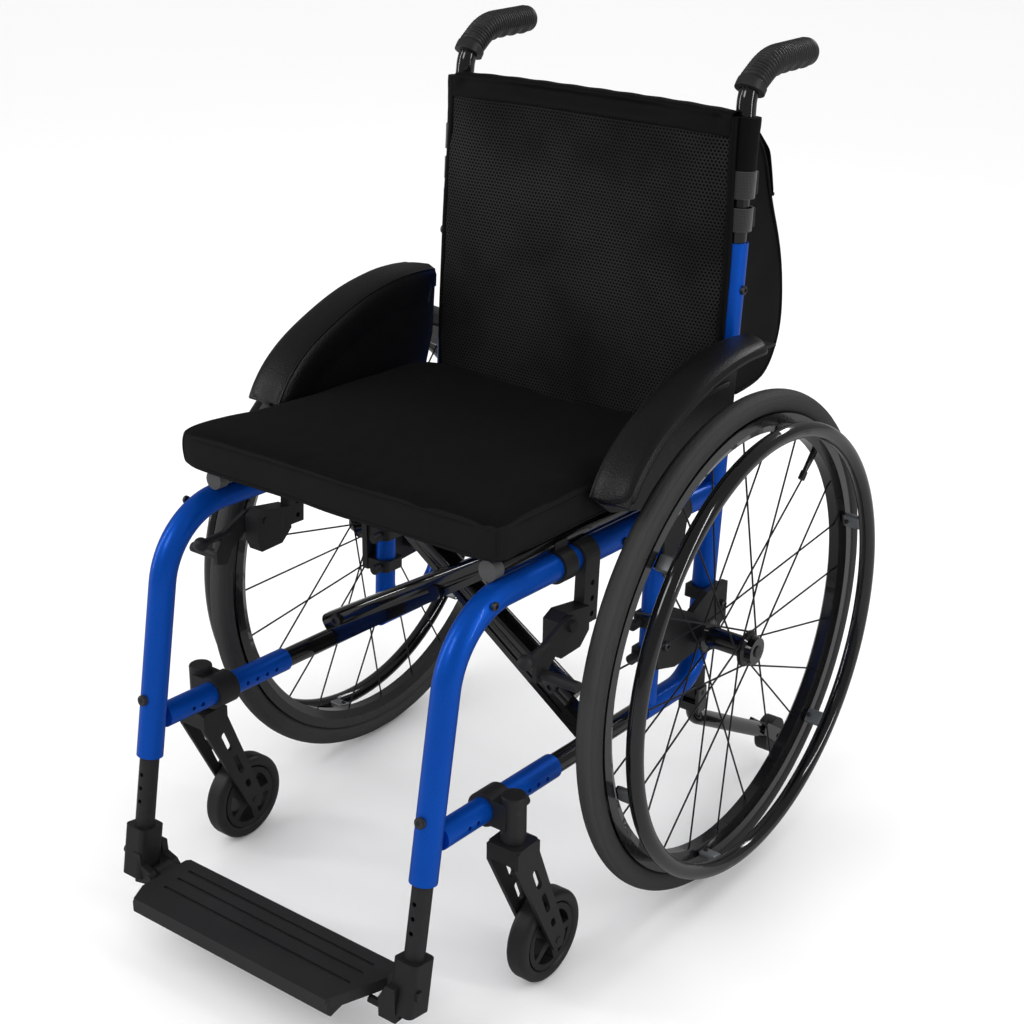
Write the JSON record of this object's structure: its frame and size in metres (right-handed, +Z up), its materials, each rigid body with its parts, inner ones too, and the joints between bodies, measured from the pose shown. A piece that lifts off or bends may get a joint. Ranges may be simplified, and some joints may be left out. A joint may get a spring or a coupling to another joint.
{
  "type": "manual wheelchair",
  "caption": "Folding manual wheelchair with large spoked rear wheels and handrims, swivelling front casters, cushioned seat, sling back, side guards and a one-piece footplate.",
  "frame": {"origin": "on the floor, midway between the two sides and midway between the footplate front and the rear tyres", "axes": "+X towards the left of the seated user, the chair faces -Y, +Z up"},
  "size_m": [0.635, 0.8519, 0.9475],
  "materials": {
    "blue_paint": "metallic gloss",
    "black_tube": "gloss",
    "black_metal": "satin",
    "black_plastic": "satin",
    "guard_plastic": "grained",
    "plate_plastic": "satin",
    "grip_rubber": "ribbed",
    "tyre": "smooth tread",
    "soft_roll": "satin",
    "spoke_steel": "dark",
    "bright_steel": "satin",
    "nylon": "woven",
    "cushion_fabric": "woven",
    "mesh_fabric": "spacer mesh"
  },
  "bodies": {
    "frame_right": {"front_tube_right": "blue_paint", "rear_loop_right": "blue_paint", "front_upright_right": "blue_paint", "lower_rail_right": "blue_paint", "saddle_front_right": "black_plastic", "saddle_rear_right": "black_plastic", "back_cane_right": "black_tube", "push_grip_right": "grip_rubber", "side_guard_right": "guard_plastic", "axle_plate_right": "black_metal", "caster_housing_right": "black_metal", "brake_body_right": "black_metal", "footrest_tube_right": "black_tube", "footrest_bracket_right": "black_plastic", "back_upholstery": "mesh_fabric", "back_pocket": "nylon"},
    "frame_left": {"front_tube_left": "blue_paint", "rear_loop_left": "blue_paint", "front_upright_left": "blue_paint", "lower_rail_left": "blue_paint", "saddle_front_left": "black_plastic", "saddle_rear_left": "black_plastic", "back_cane_left": "black_tube", "push_grip_left": "grip_rubber", "side_guard_left": "guard_plastic", "axle_plate_left": "black_metal", "caster_housing_left": "black_metal", "brake_body_left": "black_metal", "footrest_tube_left": "black_tube", "footrest_bracket_left": "black_plastic", "anti_tip_socket": "black_metal"},
    "brace_a": {"brace_arm_a": "black_tube", "seat_rail_left": "black_tube"},
    "brace_b": {"brace_arm_b": "black_tube", "seat_rail_right": "black_tube"},
    "seat": {"seat_sling": "nylon", "seat_cushion": "cushion_fabric"},
    "footrest": {"footplate": "plate_plastic"},
    "anti_tip": {"anti_tip_tube": "black_tube"},
    "anti_tip_roller": {"anti_tip_wheel": "black_plastic"},
    "wheel_left": {"rear_tyre_left": "tyre", "rear_rim_left": "black_metal", "rear_hub_left": "black_metal", "rear_spokes_left": "spoke_steel", "handrim_left": "black_tube"},
    "axle_release_left": {"axle_button_left": "bright_steel"},
    "caster_left": {"caster_fork_left": "black_metal"},
    "caster_wheel_left": {"caster_hub_left": "black_plastic", "caster_tyre_left": "soft_roll"},
    "brake_left": {"brake_lever_left": "black_metal"},
    "wheel_right": {"rear_tyre_right": "tyre", "rear_rim_right": "black_metal", "rear_hub_right": "black_metal", "rear_spokes_right": "spoke_steel", "handrim_right": "black_tube"},
    "axle_release_right": {"axle_button_right": "bright_steel"},
    "caster_right": {"caster_fork_right": "black_metal"},
    "caster_wheel_right": {"caster_hub_right": "black_plastic", "caster_tyre_right": "soft_roll"},
    "brake_right": {"brake_lever_right": "black_metal"}
  },
  "joints": [
    {"name": "fold", "type": "hinge", "parent": "frame_right", "child": "brace_a", "pos_m": [-0.1985, 0, 0.22289], "axis": [0, -0.9986, 0.0523], "range_deg": [0, 35.5], "deforming": ["seat_sling", "seat_cushion", "back_upholstery", "back_pocket"]},
    {"name": "brace_turn", "type": "hinge", "parent": "brace_a", "child": "brace_b", "pos_m": [0, -0.07696, 0.36169], "axis": [0, -0.9986, 0.0523], "range_deg": [-71.5, 0]},
    {"name": "left_side", "type": "hinge", "parent": "brace_b", "child": "frame_left", "pos_m": [0.1985, 0, 0.22289], "axis": [0, -0.9986, 0.0523], "range_deg": [0, 36]},
    {"name": "seat_level", "type": "hinge", "parent": "brace_a", "child": "seat", "pos_m": [0.19, 0, 0.48665], "axis": [0, -0.9986, 0.0523], "range_deg": [-36, 0]},
    {"name": "footplate_flip", "type": "hinge", "parent": "frame_right", "child": "footrest", "pos_m": [-0.172, -0.361, 0.066], "axis": [0, -1, 0], "range_deg": [0, 89]},
    {"name": "wheel_spin_left", "type": "hinge", "parent": "frame_left", "child": "wheel_left", "pos_m": [0.267, 0.128, 0.298], "axis": [1, 0, 0], "continuous": true},
    {"name": "axle_press_left", "type": "slide", "parent": "wheel_left", "child": "axle_release_left", "axis": [-1, 0, 0], "range_m": [0, 0.003], "stiffness_N_per_m": 400, "springref_m": -0.002},
    {"name": "caster_swivel_left", "type": "hinge", "parent": "frame_left", "child": "caster_left", "pos_m": [0.228, -0.233, 0.2], "axis": [0, 0, 1], "continuous": true},
    {"name": "caster_spin_left", "type": "hinge", "parent": "caster_left", "child": "caster_wheel_left", "pos_m": [0.228, -0.176, 0.0534], "axis": [1, 0, 0], "continuous": true},
    {"name": "brake_left", "type": "hinge", "parent": "frame_left", "child": "brake_left", "pos_m": [0.2265, -0.14, 0.415], "axis": [1, 0, 0], "range_deg": [0, 25]},
    {"name": "wheel_spin_right", "type": "hinge", "parent": "frame_right", "child": "wheel_right", "pos_m": [-0.267, 0.128, 0.298], "axis": [1, 0, 0], "continuous": true},
    {"name": "axle_press_right", "type": "slide", "parent": "wheel_right", "child": "axle_release_right", "axis": [1, 0, 0], "range_m": [0, 0.003], "stiffness_N_per_m": 400, "springref_m": -0.002},
    {"name": "caster_swivel_right", "type": "hinge", "parent": "frame_right", "child": "caster_right", "pos_m": [-0.228, -0.233, 0.2], "axis": [0, 0, 1], "continuous": true},
    {"name": "caster_spin_right", "type": "hinge", "parent": "caster_right", "child": "caster_wheel_right", "pos_m": [-0.228, -0.176, 0.0534], "axis": [1, 0, 0], "continuous": true},
    {"name": "brake_right", "type": "hinge", "parent": "frame_right", "child": "brake_right", "pos_m": [-0.2265, -0.14, 0.415], "axis": [1, 0, 0], "range_deg": [0, 25]},
    {"name": "anti_tip_swing", "type": "hinge", "parent": "frame_left", "child": "anti_tip", "pos_m": [0.1985, 0.168, 0.196], "axis": [1, 0, 0], "range_deg": [0, 70]},
    {"name": "anti_tip_spin", "type": "hinge", "parent": "anti_tip", "child": "anti_tip_roller", "pos_m": [0.1985, 0.376, 0.04], "axis": [1, 0, 0], "continuous": true}
  ],
  "couplings": [
    {"joint": "brace_turn", "follows": "fold", "ratio": -2},
    {"joint": "left_side", "follows": "fold", "ratio": 1},
    {"joint": "seat_level", "follows": "fold", "ratio": -1},
    {"joint": "footplate_flip", "follows": "fold", "ratio": 2.5}
  ]
}
